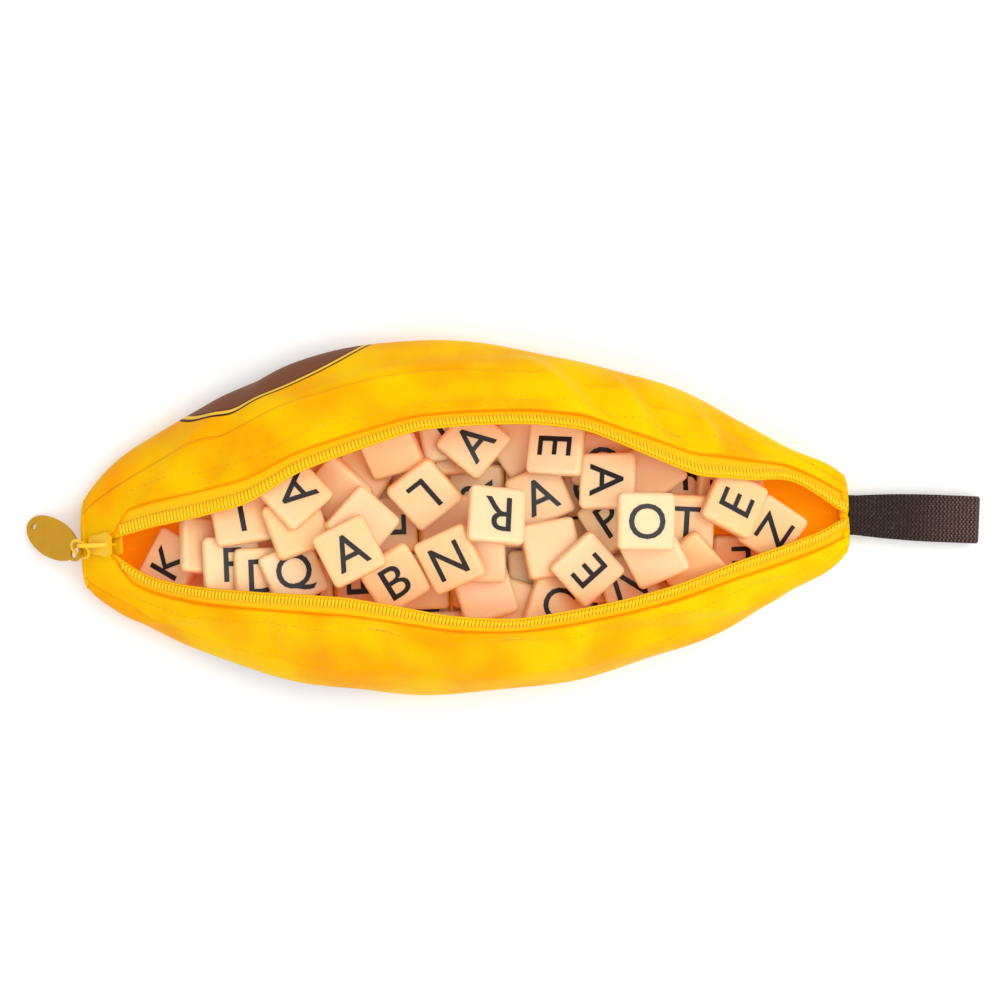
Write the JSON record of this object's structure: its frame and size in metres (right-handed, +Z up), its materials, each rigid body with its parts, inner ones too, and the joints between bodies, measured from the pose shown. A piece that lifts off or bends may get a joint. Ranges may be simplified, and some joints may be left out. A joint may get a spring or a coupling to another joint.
{
  "type": "travel word tile game case",
  "caption": "Soft banana-shaped zip pouch lying open, filled with a heap of square letter tiles, with a slider, pull ring and tag at one tip and a webbing hang loop at the other.",
  "frame": {"origin": "centre of the flat underside, halfway between the tips", "axes": "+X from the tip with the slider to the tip with the hang loop, +Y to the side whose panel stands lower, +Z up"},
  "size_m": [0.3332, 0.1212, 0.0577],
  "materials": {
    "fabric_yellow": "woven polyester",
    "zip_yellow": "woven tape",
    "coil_yellow": "satin",
    "painted_brass": "satin paint",
    "tag_gold": "satin paint",
    "webbing_brown": "woven webbing",
    "tile_ivory": "polished"
  },
  "bodies": {
    "pouch": {"base_panel": "fabric_yellow", "back_side_panel": "fabric_yellow", "front_side_panel": "fabric_yellow", "left_end_cap": "fabric_yellow", "right_end_cap": "fabric_yellow", "hang_loop_stub": "webbing_brown", "tiles_first_layer": "tile_ivory", "tiles_second_layer": "tile_ivory", "tiles_third_layer": "tile_ivory", "tiles_jumbled": "tile_ivory", "tiles_top": "tile_ivory"},
    "back_flap": {"back_zip_panel": "fabric_yellow", "back_zip_tape": "zip_yellow", "back_zip_coil": "coil_yellow"},
    "front_flap": {"front_zip_panel": "fabric_yellow", "front_zip_tape": "zip_yellow", "front_zip_coil": "coil_yellow"},
    "slider": {"slider_body": "painted_brass"},
    "pull_ring": {"pull_ring": "painted_brass"},
    "pull_tag": {"pull_tag": "tag_gold"},
    "hang_loop": {"hang_loop": "webbing_brown"},
    "loose_tile_1": {"loose_tile_1": "tile_ivory"},
    "loose_tile_2": {"loose_tile_2": "tile_ivory"},
    "loose_tile_3": {"loose_tile_3": "tile_ivory"}
  },
  "joints": [
    {"name": "back_flap_close", "type": "hinge", "parent": "pouch", "child": "back_flap", "pos_m": [0, 0, 0.011], "axis": [1, 0, 0], "range_deg": [0, 42]},
    {"name": "front_flap_close", "type": "hinge", "parent": "pouch", "child": "front_flap", "pos_m": [0, 0, 0.011], "axis": [-1, 0, 0], "range_deg": [0, 32.5]},
    {"name": "slider_travel", "type": "hinge", "parent": "pouch", "child": "slider", "pos_m": [0, 0, -0.13061], "axis": [0, 1, 0], "range_deg": [0, 78.2]},
    {"name": "ring_swing", "type": "hinge", "parent": "slider", "child": "pull_ring", "pos_m": [-0.12951, 0, 0.02367], "axis": [0, 1, 0], "range_deg": [0, 90]},
    {"name": "tag_swing", "type": "hinge", "parent": "pull_ring", "child": "pull_tag", "pos_m": [-0.1339, -0.00239, 0.0185], "axis": [-0.6171, 0.7687, 0.1681], "range_deg": [-5, 20]},
    {"name": "hang_loop_lift", "type": "hinge", "parent": "pouch", "child": "hang_loop", "pos_m": [0.13575, 0, 0.0086], "axis": [-0.0785, -0.9969, 0], "range_deg": [0, 45]},
    {"name": "tile_1_lift", "type": "slide", "parent": "pouch", "child": "loose_tile_1", "axis": [0, 0, 1], "range_m": [0, 0.07]},
    {"name": "tile_2_lift", "type": "slide", "parent": "pouch", "child": "loose_tile_2", "axis": [0, 0.1483, 0.9889], "range_m": [0, 0.07]},
    {"name": "tile_3_lift", "type": "slide", "parent": "pouch", "child": "loose_tile_3", "axis": [0, 0, 1], "range_m": [0, 0.07]}
  ],
  "couplings": [
    {"joint": "front_flap_close", "follows": "back_flap_close", "ratio": 0.77381},
    {"joint": "slider_travel", "follows": "back_flap_close", "ratio": 1.862}
  ]
}
